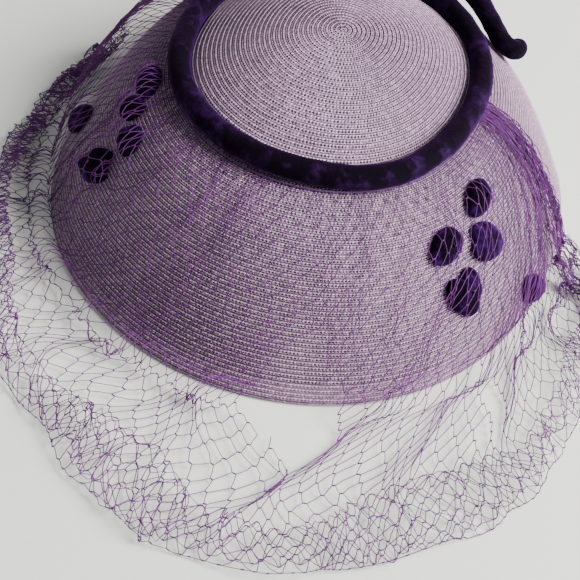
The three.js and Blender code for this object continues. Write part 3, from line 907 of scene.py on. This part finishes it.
def clear_of_hat(points):
    """Pushes points that lie inside the straw or the velvet spots back out of them."""
    t = np.linspace(0, 1, 140)
    line = slope(t)
    lean = LEAN_X * np.clip(points[..., 2] / RING_HEIGHT, 0, 1)
    turn = np.arctan2(points[..., 0] - lean, -points[..., 1])
    oval = 1 + OVALNESS * np.cos(2 * turn)
    r = np.hypot(points[..., 0] - lean, points[..., 1]) / oval
    z = points[..., 2]
    gap = np.full(r.shape, 99.0)
    nearest = np.zeros(r.shape)
    for k in range(len(t)):
        far = np.hypot(r - line[k, 0], z - line[k, 1])
        closer = far < np.abs(gap)
        along = line[min(k + 1, len(t) - 1)] - line[max(k - 1, 0)]
        outside = (r - line[k, 0]) * -along[1] + (z - line[k, 1]) * along[0] >= 0
        gap = np.where(closer, np.where(outside, far, -far), gap)
        nearest = np.where(closer, t[k], nearest)
    need = 0.75 + np.maximum(spot_lift(np.degrees(turn), nearest) - 0.3, 0)
    short = np.clip(need - gap, 0, 14) * (nearest < 0.995) * (nearest > 0.05)
    out = slope(nearest, 1.0) - slope(nearest, 0.0)
    r2, z2 = r + out[..., 0] * short, z + out[..., 1] * short
    return oval_point(np.degrees(turn), r2, z2)


def sample(surface, across, along):
    """Points of the draped strip at flat places, in millimetres of net."""
    x = np.clip(across / VEIL_WIDTH, 0, 1) * (GRID_COLUMNS - 1)
    y = np.clip(along / VEIL_LENGTH, 0, 1) * (GRID_ROWS - 1)
    i, j = np.minimum(x.astype(int), GRID_COLUMNS - 2), np.minimum(y.astype(int), GRID_ROWS - 2)
    fx, fy = (x - i)[..., None], (y - j)[..., None]
    return ((surface[j, i] * (1 - fx) + surface[j, i + 1] * fx) * (1 - fy)
            + (surface[j + 1, i] * (1 - fx) + surface[j + 1, i + 1] * fx) * fy)


def net_lattice(cut):
    """Flat places of the knots, and the pairs of knots that a thread joins; the last knots lie on
    the cut edge and a thread runs through them."""
    columns = int(VEIL_WIDTH / (CELL_WIDE / 2))
    half_tall = CELL_TALL / 2
    index, places, last = {}, [], []
    draw = np.random.default_rng(5)
    for i in range(columns + 1):
        x = i * CELL_WIDE / 2
        end = np.interp(x / VEIL_WIDTH * (GRID_COLUMNS - 1), np.arange(GRID_COLUMNS), cut) - 0.4
        rows = [j for j in range(i % 2, 99, 2) if j * half_tall <= end + half_tall]
        for j in rows:
            index[i, j] = len(places)
            y = end if j == rows[-1] else min(j * half_tall, end) + draw.normal() * 0.3
            places.append((x + draw.normal() * 0.3, y))
        last.append(index[i, rows[-1]])
    threads = [(index[i, j], index[i + s, j + 1]) for (i, j) in index for s in (-1, 1)
               if (i + s, j + 1) in index]
    return np.array(places), np.array(threads + list(zip(last, last[1:])))


def thread_mesh(points, radius, sides):
    """Open-ended tubes along many short lines of points at once: (threads, points, 3)."""
    along = np.gradient(points, axis=1)
    along /= np.maximum(np.linalg.norm(along, axis=-1, keepdims=True), 1e-9)
    rise = np.broadcast_to(np.array([0.13, 0.21, 1.0]), along.shape)
    side = np.cross(along, rise)
    side /= np.maximum(np.linalg.norm(side, axis=-1, keepdims=True), 1e-9)
    other = np.cross(side, along)
    turn = np.arange(sides) * 2 * math.pi / sides
    ring = (side[..., None, :] * np.cos(turn)[:, None] + other[..., None, :] * np.sin(turn)[:, None])
    verts = points[..., None, :] + ring * radius
    count, steps = points.shape[:2]
    faces = grid_faces(steps, sides, closed_columns=True)
    faces = (faces[None] + (np.arange(count) * steps * sides)[:, None, None]).reshape(-1, 4)
    return verts.reshape(-1, 3), faces


def knot_mesh(starts, ends, half_wide):
    """A small closed bar, a little longer than the way between each pair of thread ends."""
    axes = ends - starts
    axes /= np.maximum(np.linalg.norm(axes, axis=1, keepdims=True), 1e-9)
    rise = np.broadcast_to(np.array([0.31, 0.17, 1.0]), axes.shape)
    side = np.cross(axes, rise)
    side /= np.maximum(np.linalg.norm(side, axis=-1, keepdims=True), 1e-9)
    other = np.cross(side, axes)
    rows = [starts - axes * KNOT_OVERHANG]
    for middle in (starts * 0.8 + ends * 0.2, starts * 0.2 + ends * 0.8):
        for k in range(5):
            turn = 2 * math.pi * k / 5
            rows.append(middle + (side * math.cos(turn) + other * math.sin(turn)) * half_wide)
    rows.append(ends + axes * KNOT_OVERHANG)
    faces = []
    for k in range(5):
        k2 = (k + 1) % 5
        faces += [(0, 1 + k2, 1 + k), (11, 6 + k, 6 + k2), (1 + k, 1 + k2, 6 + k2), (1 + k, 6 + k2, 6 + k)]
    faces = np.array(faces)
    faces = (faces[None] + (np.arange(len(starts)) * 12)[:, None, None]).reshape(-1, 3)
    return np.stack(rows, 1).reshape(-1, 3), faces


def way(starts, ends):
    return np.linalg.norm(ends - starts, axis=-1)


def veil():
    surface, cut = veil_surface()
    places, threads = net_lattice(cut)
    steps = np.linspace(0, 1, 3)
    a, b = places[threads[:, 0]], places[threads[:, 1]]
    reach = np.sign(b[:, :1] - a[:, :1]) * np.array([KNOT_REACH, 0])
    flat = (a + reach)[:, None] * (1 - steps)[None, :, None] + (b - reach)[:, None] * steps[None, :, None]
    lines = sample(surface, flat[..., 0], flat[..., 1])
    lines = lines[way(lines[:, 0], lines[:, -1]) < MOST_STRETCH * way(flat[:, 0], flat[:, -1])]
    net = new_piece("veil_net", *thread_mesh(lines, THREAD_RADIUS, 4), NET)
    left, right = (sample(surface, places[:, 0] + side * KNOT_REACH, places[:, 1]) for side in (-1, 1))
    whole = way(left, right) < 2 * KNOT_REACH * MOST_STRETCH
    beads = new_piece("veil_knots", *knot_mesh(left[whole], right[whole], KNOT_HALF_WIDE), NET)
    return net, beads


# --- lights and floor ---------------------------------------------------------------------------

def paper_floor():
    n = Nodes("floor_paper")
    place = n.place()
    grain = n.noise(place, 240, 4)
    tone = n.noise(place, 3, 2)
    colour = n.mix(grain, (226, 228, 223), (232, 234, 229))
    colour = n.mix(n.fit(tone, 0.35, 0.7, 0, 0.4), colour, (221, 223, 217))
    return n.finish(Base_Color=colour, Roughness=n.blend(grain, 0.8, 0.95),
                    Normal=n.bump(grain, 0.0001, 0.3), Specular_IOR_Level=0.2)


def add_stage():
    mesh = bpy.data.meshes.new("floor")
    size = 3.0
    mesh.from_pydata([(-size, -size, 0), (size, -size, 0), (size, size, 0), (-size, size, 0)], [],
                     [(0, 1, 2, 3)])
    mesh.materials.append(paper_floor())
    floor = bpy.data.objects.new("floor", mesh)
    floor.location.z = -0.0003
    bpy.context.collection.objects.link(floor)


def add_light(name, place, aim, size, power, colour):
    data = bpy.data.lights.new(name, "AREA")
    data.shape = "DISK"
    data.size = size
    data.energy = power
    data.color = colour
    lamp = bpy.data.objects.new(name, data)
    lamp.location = place
    lamp.rotation_euler = (Vector(aim) - Vector(place)).to_track_quat("-Z", "Y").to_euler()
    bpy.context.collection.objects.link(lamp)


def add_lights():
    world = bpy.data.worlds.new("soft_daylight")
    world.use_nodes = True
    world.node_tree.nodes["Background"].inputs[0].default_value = (0.86, 0.875, 0.87, 1)
    world.node_tree.nodes["Background"].inputs[1].default_value = 0.40
    bpy.context.scene.world = world
    add_light("window", (1.2, 0.26, 1.02), (0, 0, 0.03), 1.3, 92, (1.0, 0.98, 0.955))
    add_light("fill", (0.1, -1.3, 1.2), (0, 0, 0.03), 1.2, 3, (0.92, 0.95, 1.0))


# --- putting it together ------------------------------------------------------------------------

def dress_node(name, material):
    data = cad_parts[name]
    data.material_slots[0].material = material


def ride_and_slot(piece):
    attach(piece, "hat")
    return piece


# A more lit copy of the velvet for the spots: a brighter painted highlight colour and the painted grazing
# sheen at full strength.
VELVET_SPOT = violet_velvet("violet_velvet_spot", (66, 14, 104), 1.0)

for made in (straw_crown(), straw_brim(), straw_hem()):
    ride_and_slot(made)
for made in (velvet_ring(), velvet_knot(), velvet_tail("right", TAIL_RIGHT, 21),
             velvet_tail("left", TAIL_LEFT, 31)):
    ride_and_slot(made)
for side, spots in SPOTS.items():
    for number, spot in enumerate(spots, 1):
        ride_and_slot(velvet_spot(side, number, *spot))

dress_node("head_ribbon", grosgrain_ribbon())
dress_node("ring_core", cotton_wadding())
dress_node("veil_gather_thread", sewing_thread())
dress_node("brim_edge_wire", spring_wire())

net, beads = veil()
for piece in (net, beads):
    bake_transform(piece)
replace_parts(net, "veil_drape", "veil_front")

add_stage()
add_lights()
